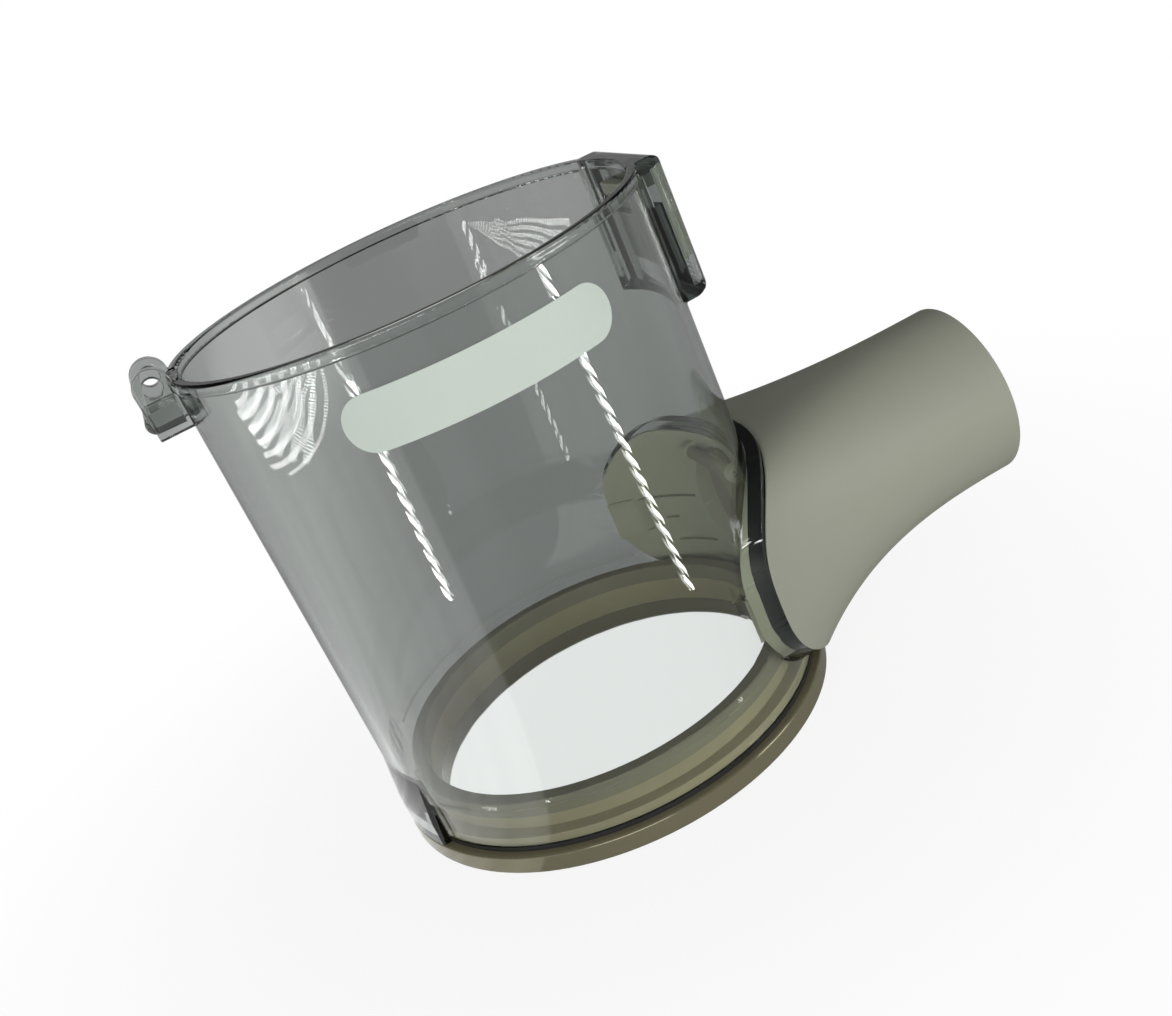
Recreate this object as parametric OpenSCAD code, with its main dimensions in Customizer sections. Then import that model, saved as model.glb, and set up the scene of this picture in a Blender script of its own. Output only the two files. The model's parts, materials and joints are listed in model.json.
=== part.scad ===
/* [Cup] */
// Height of the dust cup, from the foot of the collar to the rim
cup_h = 135; // [115:1:170]
// Outer radius of the rim bead
rim_r = 60; // [56:0.5:68]
// How far the rim bead stands out from the clear wall
bead_out = 0.8; // [0.4:0.1:1.6]
// Height of the rim bead
bead_h = 3; // [2:0.1:5]
// Thickness of the clear wall
wall_t = 2.2; // [1.6:0.1:2.8]
// How much smaller the wall's radius is at its foot than under the bead
wall_draft = 0.6; // [0.2:0.1:1.5]
// Height of the thinner band at the foot of the clear wall
foot_band_h = 11; // [9:0.5:16]
// Depth of that band's step
foot_band_step = 0.8; // [0.3:0.1:1.1]
// Half width of the pad that brings the wall's foot flush with the flange under the hinge
foot_pad_half_w = 22.2; // [12:0.1:30]
// Height of that pad, which slopes back to the wall at its top
foot_pad_h = 18; // [13:0.5:26]
// Height of the pad's upright part
foot_pad_land = 7; // [4:0.5:11]

/* [Collar] */
// Gap between the clear wall and the collar's tube
collar_gap = 3.7; // [2.5:0.1:6]
// Thickness of the collar's tube
collar_tube_t = 3.3; // [2.8:0.1:4.5]
// Height of the collar's tube under its seal
collar_tube_h = 12; // [10.5:0.5:16]
// Height of the collar's foot flange
flange_h = 5; // [4:0.1:6.5]
// How far the flange stands out from the foot of the clear wall
flange_out = 1.4; // [0.8:0.1:2.4]
// Height of the narrow step that centres the clear wall on the flange
spigot_h = 3.4; // [2.5:0.1:5]
// Height of the seal that caps the collar's tube
seal_h = 4.6; // [3:0.1:5.5]
// Thickness of the seal's skirts
seal_t = 0.9; // [0.6:0.1:1.2]
// Height of the black ring under the clear wall
base_gasket_h = 1.2; // [0.8:0.1:2]
// Width of the two grooves that key the collar's bore
key_w = 6; // [3:0.5:9]
// Depth of those grooves
key_depth = 1; // [0.5:0.1:1.5]
// Angle of each groove to either side of the inlet
key_az = 11.5; // [8:0.5:30]

/* [Neck] */
// Half width of the neck and of the duct's wide end
neck_half_w = 48.3; // [43:0.1:51]
// Height of the neck's top edge
neck_top = 59.5; // [56:0.5:68]
// How far the neck's saddle face stands out past the rim
neck_out = 2.5; // [1.6:0.1:4]
// Corner radius of the neck's outline
neck_corner_r = 22; // [14:0.5:24]
// Thickness of the neck's frame
neck_t = 2.2; // [1.6:0.1:2.8]

/* [Inlet] */
// How far the duct's open end stands out past the rim
duct_out = 68; // [50:1:90]
// Outer radius of the duct's open end
duct_end_r = 24.7; // [22:0.1:27]
// Thickness of the duct's painted shell
duct_t = 2.2; // [1.6:0.1:2.6]
// Lowest point of the duct's wide end
duct_foot = 3.5; // [2:0.5:5]
// How quickly the flare narrows towards the round end
flare_power = 2.6; // [2:0.1:3.2]
// Thickness of the inner pipe
liner_t = 2.2; // [1.6:0.1:3]
// Thickness of the inner pipe's saddle plate
plate_t = 2.2; // [1.6:0.1:2.8]
// Depth of the grooves in the saddle plate
groove_depth = 1.3; // [0.6:0.1:1.4]

/* [Inlet flap] */
// Gap between the flap's disc and the air bore around it
flap_gap = 1.1; // [0.6:0.1:2]
// Thickness of the flap
flap_t = 1.6; // [1.2:0.1:2]
// Half length of the flap's barrel
flap_barrel_half = 11.8; // [9:0.1:13.5]
// Radius of the flap's pin
flap_pin_r = 1; // [0.8:0.05:1.2]

/* [Hinge ears] */
// Distance from the middle to the outer face of each ear
ear_out = 9.2; // [8:0.1:11]
// Thickness of each ear
ear_t = 3.4; // [2.6:0.1:4.5]
// Radius of each ear's round head
ear_head_r = 4.5; // [4:0.1:6]
// Radius of the lid pin's hole
ear_hole_r = 2.3; // [1.5:0.1:2.7]
// How far the lid's pin lies outside the rim
ear_pin_out = 3; // [2:0.1:5]
// Height of the lid's pin above the rim
ear_pin_up = 0.6; // [0:0.1:2]
// How far the ears reach down below the rim
ear_leg_h = 11; // [9:0.5:16]
// Radius of the bar between the ears that stops the lid
bar_r = 2.4; // [1.6:0.1:3]

/* [Latch] */
// Width of the latch housing
latch_w = 39; // [34:0.5:46]
// Height of the latch housing, down from the rim
latch_h = 35.4; // [31:0.1:42]
// How far the housing's face stands out from the clear wall
latch_out = 3.4; // [3.2:0.1:5]
// Rounding of the housing's top edge
latch_top_r = 2.8; // [1.5:0.1:2.9]
// Width of the housing beside the slider's plate
latch_side = 4.5; // [3.5:0.1:6]
// Travel of the release slider
latch_travel = 4.5; // [3:0.1:5]
// Thickness of the slider's hidden flange
slider_flange_t = 1.2; // [0.9:0.1:1.3]
// How far that flange reaches behind the housing's front on each side
slider_lap = 2; // [1.5:0.1:2.6]
// Height of the slider's grip, which stands a little proud
grip_h = 10.1; // [6:0.1:14]
// How far the slider's nose reaches in past the wall's inner face
nose_in = 2.4; // [1.5:0.1:3]
// Outer radius of the return springs
spring_r = 0.75; // [0.6:0.05:0.8]
// Radius of the springs' wire
wire_r = 0.15; // [0.1:0.01:0.18]

/* [Label] */
// Length of the blank label along the wall
label_len = 64.5; // [40:0.5:80]
// Height of the label
label_h = 13; // [8:0.5:18]
// Distance from the rim down to the label's centre line
label_drop = 17.2; // [14:0.1:30]
// Direction that the label faces
label_az = -92; // [-110:1:-75]

/* [Hidden] */
$fn = 96;

// Gap between two pieces that are fixed together
fit = 0.1;
// Gap between two pieces that slide or swing past each other
run = 0.3;
// Play of a pin in its hole
play = 0.05;
// How far a cutting tool reaches past the faces it cuts
over = 1;

// Heights up the cup
rim_z = cup_h;
bead_z = rim_z - bead_h;
wall_foot_z = flange_h + base_gasket_h;
seal_top = collar_tube_h + seal_h;

// Radii out from the cup's axis
bead_round = 0.8;
wall_r_top = rim_r - bead_out;
wall_r_foot = wall_r_top - wall_draft;
foot_in_r = wall_r_foot - wall_t;
spigot_r = foot_in_r - fit;
collar_out_r = foot_in_r - collar_gap;
collar_bore_r = collar_out_r - collar_tube_t;
flange_r = wall_r_foot + flange_out;
key_h = collar_tube_h - 2;

// Outer and inner radius of the clear wall at a height
function wall_out(z) = wall_r_foot + wall_draft * (z - wall_foot_z) / (bead_z - wall_foot_z);
function wall_in(z) = wall_out(z) - wall_t;

// The neck around the inlet opening, and the opening itself
neck_r = rim_r + neck_out;
neck_foot = wall_foot_z;
opening_half_w = neck_half_w - neck_t;
opening_top = neck_top - neck_t;
opening_foot = neck_foot + neck_t;
opening_corner_r = neck_corner_r - neck_t;

// The duct's round end lines up with the neck's top edge
duct_reach = rim_r + duct_out;
duct_end_z = neck_top - duct_end_r;
liner_out_r = duct_end_r - duct_t - run;
bore_r = liner_out_r - liner_t;
liner_reach = duct_reach - 1;
plate_in_r = foot_in_r;
plate_out_r = plate_in_r + plate_t;
gasket_t = 1.6;

// Grooves in the plate: height above the bore's centre, start past the bore's edge, length
plate_grooves = [[1.2, 1.5, 18.5], [-5.8, 10.4, 4.2], [-13.5, 0.5, 13]];
groove_w = 0.9;
// Snap block at each side of the plate, and the slot that lets it flex
snap_w = 5;
snap_h = 12;
snap_side = 0.6;
snap_out = 0.8;
snap_slot_w = 2;
snap_z = duct_end_z - 10.5;

// The flap hangs from a barrel whose ends just clear the plate's round inner face
flap_recess = 1.2;
flap_arm_half_w = 6;
barrel_r = 1.9;
flap_r = bore_r - flap_gap;
flap_face_x = plate_in_r + flap_recess;
flap_axis_x = sqrt(pow(plate_in_r, 2) - pow(flap_barrel_half, 2)) - barrel_r - run;
flap_axis_z = duct_end_z + flap_r - 1.4;
flap_arm = flap_face_x - flap_axis_x;

// The flap's foot swings over the collar's seal
flap_swing_r = flap_axis_z - seal_top - run;
flap_foot_z = flap_axis_z - sqrt(pow(flap_swing_r, 2) - pow(flap_arm + flap_t, 2));
lug_t = 3;
lug_r = 2.4;
lug_sunk = 0.2;
pin_half = flap_barrel_half + lug_t;
seat_x = flap_face_x + flap_t + 0.2;
seat_t = 1.5;
seat_lap = 0.7;
seat_sill = 0.8;

// The lid's hinge at the rim
ear_pin_x = rim_r + ear_pin_out;
ear_pin_z = rim_z + ear_pin_up;
ear_foot_z = rim_z - ear_leg_h;
ear_foot_x = rim_r + 7;
ear_root_x = rim_r - 3;
bar_x = rim_r + 6.2;
bar_z = ear_foot_z + 4;

// The latch's T-shaped pocket, with the slider at rest against its top
latch_foot = rim_z - latch_h;
latch_face = wall_r_top + latch_out;
latch_corner_r = 4;
latch_side_r = 1.5;
slider_w = latch_w - 2 * latch_side;
slider_flange_w = slider_w + 2 * slider_lap;
pocket_x = wall_r_top + 0.4;
pocket_t = slider_flange_t + 2 * run;
pocket_foot = latch_foot + 2.5;
pocket_top = rim_z - 3;
slider_x = pocket_x + run;
slider_top = pocket_top - run;
slider_foot = pocket_foot + latch_travel + 2.1;
grip_proud = 0.5;
nose_half_w = 6;
nose_h = 3;
nose_top = slider_top - 2;
nose_x = wall_in(bead_z) - nose_in;

spring_y = slider_w / 2 + slider_lap / 2;
spring_x = pocket_x + pocket_t / 2;
spring_foot = pocket_foot + play;
spring_top = slider_foot - play;
spring_turns = 5;
spring_steps = 14;
spring_sides = 6;

label_z = rim_z - label_drop;
label_film_t = 0.25;
label_end_steps = 16;

// Places a profile drawn in (Y, Z) and sweeps it along +X from x0 to x1
module along_x(x0, x1) {
  translate([x0, 0, 0]) rotate([90, 0, 90]) linear_extrude(height = x1 - x0) children();
}

// Places a profile drawn in (X, Z) and sweeps it along Y from y0 to y1
module along_y(y0, y1) {
  translate([0, y1, 0]) rotate([90, 0, 0]) linear_extrude(height = y1 - y0) children();
}

// Repeats its children on both sides of the part's middle plane
module both_sides() {
  children();
  mirror([0, 1, 0]) children();
}

// Upright rectangle with round corners, from z0 to z1 and half_w to each side
module round_rect(half_w, z0, z1, r) {
  translate([-half_w, z0 + r]) square([2 * half_w, z1 - z0 - 2 * r]);
  translate([-half_w + r, z0]) square([2 * (half_w - r), z1 - z0]);
  for (y = [-half_w + r, half_w - r], z = [z0 + r, z1 - r]) translate([y, z]) circle(r = r);
}

// Shell between two radii, as tall as the cup
module ring_shell(r_in, r_out) {
  difference() {
    cylinder(r = r_out, h = cup_h);
    translate([0, 0, -over]) cylinder(r = r_in, h = cup_h + 2 * over);
  }
}

// Two triangles for each cell of a tube's skin, which faces out or faces the tube's inside.
// The points run clockwise round each ring, seen from the tube's start.
function skin_faces(rings, sides, first = 0, inside = false) = [
  for (i = [0:rings - 1], j = [0:sides - 1])
    let (
      a = first + i * sides + j,
      b = first + i * sides + (j + 1) % sides
    ) each inside ? [[a, b, b + sides], [a, b + sides, a + sides]]
                  : [[a, b + sides, b], [a, a + sides, b + sides]]
];

// Two triangles for each cell of the band that joins two rings of points at a tube's end
function edge_faces(ring_a, ring_b, sides) = [
  for (j = [0:sides - 1])
    let (k = (j + 1) % sides) each [
      [ring_a + j, ring_a + k, ring_b + k],
      [ring_a + j, ring_b + k, ring_b + j],
    ]
];

module neck_outline() {
  round_rect(neck_half_w, neck_foot, neck_top, neck_corner_r);
}

module opening_outline(gap = 0) {
  round_rect(opening_half_w - gap, opening_foot + gap, opening_top - gap, opening_corner_r - gap);
}

// Half section of the clear wall with its rim bead and thinner foot band
module wall_section() {
  band_z = wall_foot_z + foot_band_h;
  in_r = wall_in(bead_z);
  polygon([
    [foot_in_r, wall_foot_z],
    [wall_r_foot - foot_band_step, wall_foot_z],
    [wall_out(band_z) - foot_band_step, band_z],
    [wall_out(band_z), band_z + foot_band_step],
    [wall_r_top, bead_z],
    [wall_r_top, rim_z - bead_round],
    [in_r, rim_z - bead_round],
  ]);
  translate([in_r, bead_z]) square([rim_r - bead_round - in_r, bead_h - bead_round]);
  translate([in_r + bead_round, bead_z]) square([rim_r - 2 * bead_round - in_r, bead_h]);
  translate([in_r, bead_z + bead_round]) square([rim_r - in_r, bead_h - 2 * bead_round]);
  for (z = [bead_z + bead_round, rim_z - bead_round]) {
    translate([rim_r - bead_round, z]) circle(r = bead_round);
  }
  translate([in_r + bead_round, rim_z - bead_round]) circle(r = bead_round);
}

// Everything inside the clear wall, as one plug that clears the cup of added forms
module cup_hollow() {
  clear_z = ear_pin_z + ear_head_r + over;
  rotate_extrude() polygon([
    [0, -over],
    [foot_in_r, -over],
    [foot_in_r, wall_foot_z],
    [wall_in(bead_z), bead_z],
    [wall_in(bead_z), clear_z],
    [0, clear_z],
  ]);
}

// Frame that stands out from the wall around the inlet opening
module neck_frame() {
  intersection() {
    along_x(0, neck_r + over) neck_outline();
    cylinder(r = neck_r, h = cup_h);
  }
}

// Side view of one hinge ear, with its leg down the wall and the lid pin's hole
module ear_profile() {
  difference() {
    union() {
      translate([-ear_pin_x, ear_pin_z]) circle(r = ear_head_r);
      polygon([
        [-ear_root_x, ear_foot_z],
        [-ear_foot_x, ear_foot_z],
        [-ear_pin_x - ear_head_r, ear_pin_z],
        [-ear_pin_x, ear_pin_z],
        [-ear_root_x, rim_z],
      ]);
    }
    translate([-ear_pin_x, ear_pin_z]) circle(r = ear_hole_r);
  }
}

module hinge_ears() {
  both_sides() along_y(ear_out - ear_t, ear_out) ear_profile();
  bar_half = ear_out - ear_t / 2;
  along_y(-bar_half, bar_half) {
    translate([-bar_x, bar_z]) circle(r = bar_r);
    translate([-bar_x, bar_z - bar_r]) square([bar_x - rim_r, 2 * bar_r]);
  }
}

// Pad on the wall's foot under the hinge, flush with the flange that it stands on
module foot_pad() {
  gasket_side = wall_r_foot - foot_band_step + fit;
  root_r = foot_in_r + wall_t / 4;
  top_z = wall_foot_z + foot_pad_h;
  intersection() {
    rotate_extrude() polygon([
      [root_r, wall_foot_z],
      [gasket_side, wall_foot_z],
      [gasket_side, flange_h + fit],
      [flange_r, flange_h + fit],
      [flange_r, flange_h + foot_pad_land],
      [wall_out(top_z), top_z],
      [root_r, top_z],
    ]);
    translate([-flange_r - over, -foot_pad_half_w, 0]) cube([flange_r, 2 * foot_pad_half_w, cup_h]);
  }
}

// Flat-faced housing on the latch side, with a round lower corner and softened edges
module latch_housing() {
  intersection() {
    along_y(-latch_w / 2, latch_w / 2) union() {
      corner_z = latch_foot + latch_corner_r;
      translate([0, latch_foot]) square([latch_face - latch_corner_r, latch_h]);
      translate([0, corner_z]) square([latch_face, rim_z - corner_z - latch_top_r]);
      translate([0, corner_z]) square([latch_face - latch_top_r, rim_z - corner_z]);
      translate([latch_face - latch_corner_r, corner_z]) circle(r = latch_corner_r);
      translate([latch_face - latch_top_r, rim_z - latch_top_r]) circle(r = latch_top_r);
    }
    linear_extrude(height = rim_z) union() {
      side_y = latch_w / 2 - latch_side_r;
      translate([0, -latch_w / 2]) square([latch_face - latch_side_r, latch_w]);
      translate([0, -side_y]) square([latch_face, 2 * side_y]);
      for (y = [-side_y, side_y]) translate([latch_face - latch_side_r, y]) circle(r = latch_side_r);
    }
  }
}

// T-shaped pocket that the release slider runs in, and its nose's window in the wall
module latch_pocket() {
  pocket_h = pocket_top - pocket_foot;
  translate([pocket_x, -slider_flange_w / 2 - run, pocket_foot])
    cube([pocket_t, slider_flange_w + 2 * run, pocket_h]);
  translate([pocket_x, -slider_w / 2 - run, pocket_foot])
    cube([latch_out + over, slider_w + 2 * run, pocket_h]);
  window_x = wall_r_top - wall_t - over;
  window_h = nose_h + latch_travel + 2 * run;
  translate([window_x, -nose_half_w - run, nose_top + run - window_h])
    cube([pocket_x + over - window_x, 2 * (nose_half_w + run), window_h]);
}

// Clear cup: the wall, the neck, the hinge ears, the foot pad and the latch housing are one moulding
module cup_shell() {
  color([0.55, 0.58, 0.56, 0.5]) difference() {
    union() {
      rotate_extrude() wall_section();
      difference() {
        union() {
          neck_frame();
          hinge_ears();
          latch_housing();
          foot_pad();
        }
        cup_hollow();
      }
    }
    along_x(0, neck_r + over) opening_outline();
    latch_pocket();
  }
}

// Ring with the foot flange, the step that centres the wall and the tube inside it
module collar_ring() {
  tongue_t = collar_tube_t - 2 * seal_t;
  edge = 0.6;
  color([0.50, 0.47, 0.37]) difference() {
    rotate_extrude() union() {
      translate([collar_bore_r, edge]) square([flange_r - collar_bore_r, flange_h - 2 * edge]);
      translate([collar_bore_r, 0]) square([flange_r - edge - collar_bore_r, flange_h]);
      for (z = [edge, flange_h - edge]) translate([flange_r - edge, z]) circle(r = edge);
      translate([collar_bore_r, 0]) square([collar_tube_t, collar_tube_h]);
      translate([collar_bore_r, flange_h - edge]) square([spigot_r - collar_bore_r, spigot_h + edge]);
      translate([collar_bore_r + seal_t, collar_tube_h - edge])
        square([tongue_t, seal_h - seal_t - fit + edge]);
    }
    both_sides() rotate([0, 0, key_az])
      translate([collar_bore_r - over, -key_w / 2, -over]) cube([key_depth + over, key_w, key_h + over]);
  }
}

// Soft ring with two skirts, pressed over the edge of the collar's tube
module collar_seal() {
  seal_out_r = collar_out_r + 0.6;
  lip = 0.5;
  color([0.42, 0.39, 0.31]) rotate_extrude() difference() {
    union() {
      translate([collar_bore_r, collar_tube_h]) square([seal_out_r - collar_bore_r, seal_h - lip]);
      translate([collar_bore_r + lip, collar_tube_h]) square([seal_out_r - collar_bore_r - 2 * lip, seal_h]);
      for (r = [collar_bore_r + lip, seal_out_r - lip]) translate([r, seal_top - lip]) circle(r = lip);
    }
    translate([collar_bore_r + seal_t - fit, collar_tube_h - over])
      square([collar_tube_t - 2 * seal_t + 2 * fit, seal_h - seal_t + over]);
  }
}

// Black ring that the clear wall stands on
module base_gasket() {
  gasket_in_r = spigot_r + fit;
  gasket_out_r = wall_r_foot - foot_band_step;
  color([0.08, 0.08, 0.08]) rotate_extrude()
    translate([gasket_in_r, flange_h]) square([gasket_out_r - gasket_in_r, base_gasket_h]);
}

// Number of stations along the flare and of points around it
flare_rings = 20;
flare_sides = 48;
// Squareness of the duct's wide end, where 2 is an ellipse
flare_square = 3;

// Signed power, for a squared-off ellipse
function spow(v, p) = sign(v) * pow(abs(v), p);

// Point on the flare's skin at part u of its length and angle a, inset by t
function flare_point(u, a, t) =
  let (
    half_h = (neck_top - duct_foot) / 2,
    mid_z = (neck_top + duct_foot) / 2,
    y_wide = (neck_half_w - t) * spow(cos(a), 2 / flare_square),
    z_wide = mid_z + (half_h - t) * spow(sin(a), 2 / flare_square),
    x_wide = sqrt(pow(neck_r + fit, 2) - pow(y_wide, 2)),
    y_end = (duct_end_r - t) * cos(a),
    z_end = duct_end_z + (duct_end_r - t) * sin(a),
    k = pow(1 - u, flare_power)
  ) [x_wide + (duct_reach - x_wide) * u, y_end + (y_wide - y_end) * k, z_end + (z_wide - z_end) * k];

// Flare between its saddle on the neck and its round end, open at both ends
module inlet_duct() {
  points = [
    for (t = [0, duct_t], i = [0:flare_rings], j = [0:flare_sides - 1])
      flare_point(i / flare_rings, 360 * j / flare_sides, t),
  ];
  inner = (flare_rings + 1) * flare_sides;
  last_ring = flare_rings * flare_sides;
  faces = concat(
    skin_faces(flare_rings, flare_sides),
    skin_faces(flare_rings, flare_sides, inner, inside = true),
    edge_faces(0, inner, flare_sides),
    edge_faces(inner + last_ring, last_ring, flare_sides)
  );
  color([0.58, 0.58, 0.50]) polyhedron(points = points, faces = faces, convexity = 6);
}

// Lug at each end of the barrel that holds the flap's pin
module flap_lugs() {
  y0 = flap_barrel_half + run;
  lug_len = plate_in_r + lug_sunk - flap_axis_x;
  both_sides() along_y(y0, y0 + lug_t) {
    translate([flap_axis_x, flap_axis_z]) circle(r = lug_r);
    translate([flap_axis_x, flap_axis_z - lug_r]) square([lug_len, 2 * lug_r]);
  }
}

// Passage through the flap's seat: a circle with a flat sill and a flat top
module seat_outline() {
  seat_r = flap_r - seat_lap;
  intersection() {
    translate([0, duct_end_z]) circle(r = seat_r);
    translate([-seat_r, flap_foot_z + seat_sill])
      square([2 * seat_r, flap_axis_z - flap_foot_z - seat_sill - 1]);
  }
}

// Snap blocks at the plate's sides, standing in from its inner face
module snap_blocks() {
  y0 = opening_half_w - snap_side - snap_w;
  intersection() {
    both_sides() along_x(0, neck_r) translate([y0, snap_z]) square([snap_w, snap_h]);
    ring_shell(plate_in_r - snap_out, plate_out_r);
  }
}

// Slot beside each snap block, and the shallow grooves between it and the bore
module plate_cuts() {
  slot_y = opening_half_w - snap_side - snap_w - snap_slot_w;
  both_sides() {
    along_x(0, neck_r) translate([slot_y, snap_z + 1]) square([snap_slot_w, snap_h - 2]);
    intersection() {
      along_x(0, neck_r) for (g = plate_grooves) {
        translate([bore_r + g[1], duct_end_z + g[0] - groove_w / 2]) square([g[2], groove_w]);
      }
      ring_shell(plate_in_r - over, plate_in_r + groove_depth);
    }
  }
}

// Inner pipe with the saddle plate that closes the neck around it
module inlet_liner() {
  color([0.36, 0.36, 0.29]) difference() {
    union() {
      difference() {
        union() {
          intersection() {
            along_x(0, neck_r) opening_outline(fit);
            ring_shell(plate_in_r, plate_out_r);
          }
          snap_blocks();
        }
        plate_cuts();
      }
      difference() {
        along_x(0, liner_reach) translate([0, duct_end_z]) circle(r = liner_out_r);
        cylinder(r = plate_in_r, h = cup_h);
      }
      flap_lugs();
    }
    along_x(0, seat_x) translate([0, duct_end_z]) circle(r = bore_r);
    along_x(seat_x + seat_t, duct_reach + over) translate([0, duct_end_z]) circle(r = bore_r);
    along_x(seat_x - over, seat_x + seat_t + over) seat_outline();
    along_y(-pin_half - over, pin_half + over)
      translate([flap_axis_x, flap_axis_z]) circle(r = flap_pin_r + play);
  }
}

// Black ring between the plate and the duct, inside the neck's frame
module neck_gasket() {
  color([0.08, 0.08, 0.08]) difference() {
    intersection() {
      along_x(0, neck_r) opening_outline(fit);
      ring_shell(plate_out_r, neck_r - fit);
    }
    along_x(0, neck_r + over) opening_outline(fit + gasket_t);
    along_x(0, neck_r + over) translate([0, duct_end_z]) circle(r = liner_out_r + fit);
  }
}

// Soft flap that hangs from its barrel and closes the air bore
module inlet_flap() {
  color([0.30, 0.30, 0.24]) difference() {
    union() {
      along_x(flap_face_x, flap_face_x + flap_t) intersection() {
        translate([0, duct_end_z]) circle(r = flap_r);
        translate([-flap_r, flap_foot_z]) square([2 * flap_r, flap_axis_z - flap_foot_z]);
      }
      along_y(-flap_barrel_half, flap_barrel_half) translate([flap_axis_x, flap_axis_z]) circle(r = barrel_r);
      along_y(-flap_arm_half_w, flap_arm_half_w) translate([flap_axis_x, flap_axis_z - barrel_r])
        square([flap_arm + flap_t / 2, barrel_r]);
    }
    along_y(-flap_barrel_half - over, flap_barrel_half + over)
      translate([flap_axis_x, flap_axis_z]) circle(r = flap_pin_r + 2 * play);
  }
}

// Steel pin that the flap turns on, held in the lugs
module flap_pin() {
  color([0.75, 0.76, 0.78]) along_y(-pin_half, pin_half)
    translate([flap_axis_x, flap_axis_z]) circle(r = flap_pin_r);
}

// Sprung release slider: a flange in the T-slot, a plate with its grip, and a nose
module latch_slider() {
  slider_h = slider_top - slider_foot;
  grip_z = slider_top - grip_h;
  plate_t_x = latch_face - slider_x;
  color([0.52, 0.50, 0.40]) union() {
    translate([slider_x, -slider_flange_w / 2, slider_foot])
      cube([slider_flange_t, slider_flange_w, slider_h]);
    translate([slider_x, -slider_w / 2, slider_foot]) cube([plate_t_x, slider_w, slider_h]);
    translate([slider_x, -slider_w / 2, grip_z]) cube([plate_t_x + grip_proud, slider_w, grip_h]);
    translate([nose_x, -nose_half_w, nose_top - nose_h])
      cube([slider_x + slider_flange_t - nose_x, 2 * nose_half_w, nose_h]);
  }
}

// Point on the skin of a spring's wire, at step i along it and side j around it
function wire_point(i, j) =
  let (
    r = spring_r - wire_r,
    steps = spring_turns * spring_steps,
    rise = spring_top - spring_foot - 2 * wire_r,
    a = 360 * i / spring_steps,
    b = -360 * j / spring_sides,
    slope = atan(rise / (2 * PI * r * spring_turns)),
    out = r + wire_r * cos(b)
  ) [
    out * cos(a) + wire_r * sin(b) * sin(slope) * sin(a),
    out * sin(a) - wire_r * sin(b) * sin(slope) * cos(a),
    spring_foot + wire_r + rise * i / steps + wire_r * sin(b) * cos(slope),
  ];

// The two small springs that push the slider back up
module latch_springs() {
  steps = spring_turns * spring_steps;
  points = [for (i = [0:steps], j = [0:spring_sides - 1]) wire_point(i, j)];
  faces = concat(
    skin_faces(steps, spring_sides),
    [[for (j = [0:spring_sides - 1]) j]],
    [[for (j = [spring_sides - 1:-1:0]) steps * spring_sides + j]]
  );
  color([0.75, 0.76, 0.78]) for (y = [-spring_y, spring_y]) {
    translate([spring_x, y, 0]) polyhedron(points = points, faces = faces, convexity = 10);
  }
}

// Blank film on the near side, round at both ends and parallel to the rim
module front_label() {
  r = label_h / 2;
  half = label_len / 2 - r;
  wall_r = wall_out(label_z);
  function flat_y(s) = wall_r * sin(s * 180 / (PI * wall_r));
  outline = [
    for (side = [1, -1], i = [0:label_end_steps])
      let (a = 180 * i / label_end_steps - 90)
        [side * flat_y(half + r * cos(a)), side * r * sin(a)],
  ];
  foot_z = label_z - label_h;
  top_z = label_z + label_h;
  color([0.75, 0.79, 0.76]) intersection() {
    rotate([0, 0, label_az]) along_x(wall_r / 2, rim_r + over) translate([0, label_z]) polygon(outline);
    rotate_extrude() polygon([
      [wall_out(foot_z), foot_z],
      [wall_out(foot_z) + label_film_t, foot_z],
      [wall_out(top_z) + label_film_t, top_z],
      [wall_out(top_z), top_z],
    ]);
  }
}

cup_shell();
collar_ring();
collar_seal();
base_gasket();
inlet_duct();
inlet_liner();
neck_gasket();
inlet_flap();
flap_pin();
latch_slider();
latch_springs();
front_label();
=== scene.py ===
"""Clear dust bin with a painted inlet duct, dressed for the camera on a white floor."""

import json
import math

import bmesh
import bpy
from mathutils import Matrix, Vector

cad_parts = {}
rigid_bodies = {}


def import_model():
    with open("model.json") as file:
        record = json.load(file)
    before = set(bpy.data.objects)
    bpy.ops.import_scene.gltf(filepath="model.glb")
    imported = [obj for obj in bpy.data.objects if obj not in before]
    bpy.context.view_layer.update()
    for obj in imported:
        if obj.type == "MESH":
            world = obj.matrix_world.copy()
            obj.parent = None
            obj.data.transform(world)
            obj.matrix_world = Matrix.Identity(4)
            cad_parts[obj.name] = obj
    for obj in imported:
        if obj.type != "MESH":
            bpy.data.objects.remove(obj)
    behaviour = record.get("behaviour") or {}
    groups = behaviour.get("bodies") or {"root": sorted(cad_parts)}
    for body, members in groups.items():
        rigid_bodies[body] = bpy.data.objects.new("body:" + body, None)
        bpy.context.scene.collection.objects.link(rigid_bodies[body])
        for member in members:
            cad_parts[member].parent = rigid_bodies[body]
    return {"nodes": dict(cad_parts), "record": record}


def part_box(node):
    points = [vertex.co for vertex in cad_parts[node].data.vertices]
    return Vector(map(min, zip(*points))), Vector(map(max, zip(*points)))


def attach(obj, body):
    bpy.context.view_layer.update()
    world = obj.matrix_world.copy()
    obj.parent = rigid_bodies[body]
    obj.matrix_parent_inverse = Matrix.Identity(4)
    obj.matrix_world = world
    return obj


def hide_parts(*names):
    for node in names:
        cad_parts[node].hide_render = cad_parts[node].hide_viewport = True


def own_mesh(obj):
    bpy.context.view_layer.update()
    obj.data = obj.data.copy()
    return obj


MM = 0.001

# The camera stands where the photograph was taken from, rolled to the left
CAMERA_PLACE = Vector((-48.257, -323.940, 191.699)) * MM
CAMERA_TARGET = Vector((15.948, -3.192, 58.768)) * MM
CAMERA_ROLL = math.radians(-24.3147)
CAMERA_LENS = 42.45
SENSOR_WIDTH = 36.0

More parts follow.
